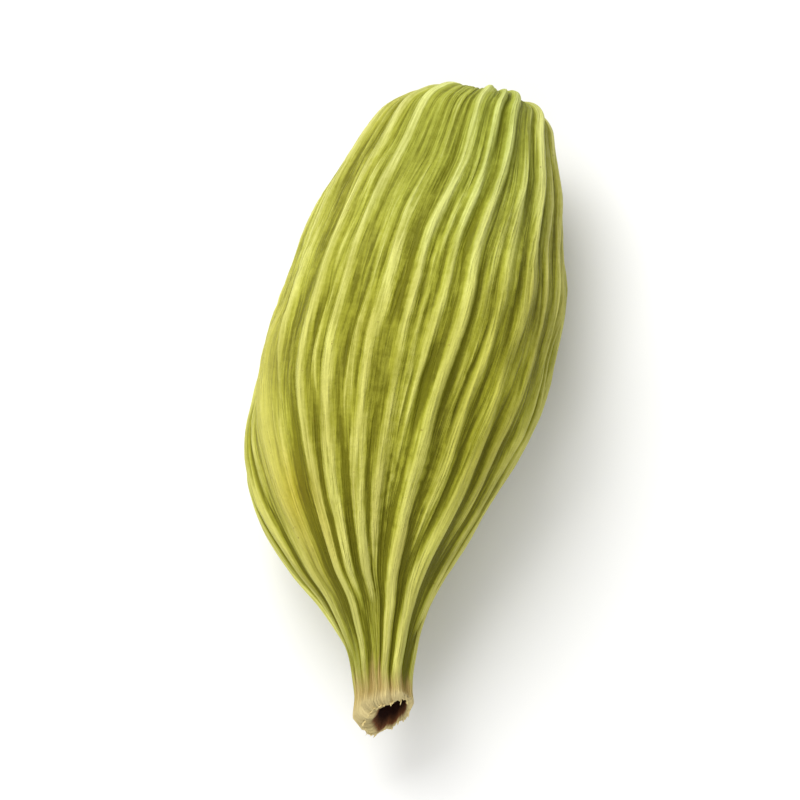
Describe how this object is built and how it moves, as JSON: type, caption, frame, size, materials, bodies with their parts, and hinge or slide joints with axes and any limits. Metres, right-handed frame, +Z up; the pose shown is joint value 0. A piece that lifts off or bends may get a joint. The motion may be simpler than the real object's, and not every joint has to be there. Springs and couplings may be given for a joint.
{
  "type": "green cardamom pod",
  "caption": "Whole dried green spice pod: a ribbed, three-sided seed capsule with a hollow stalk stub and a blunt tip, lying on its side.",
  "frame": {"origin": "middle of the pod's bounding box in plan, at the height of the flat spot that it lies on", "axes": "+Y along the pod from the stalk stub to the blunt tip, +Z up, +X to the right as seen from above with the tip away from the viewer"},
  "size_m": [0.0072, 0.016, 0.0067],
  "materials": {
    "husk": "matte"
  },
  "bodies": {
    "root": {"cardamom_pod": "husk"}
  },
  "joints": []
}
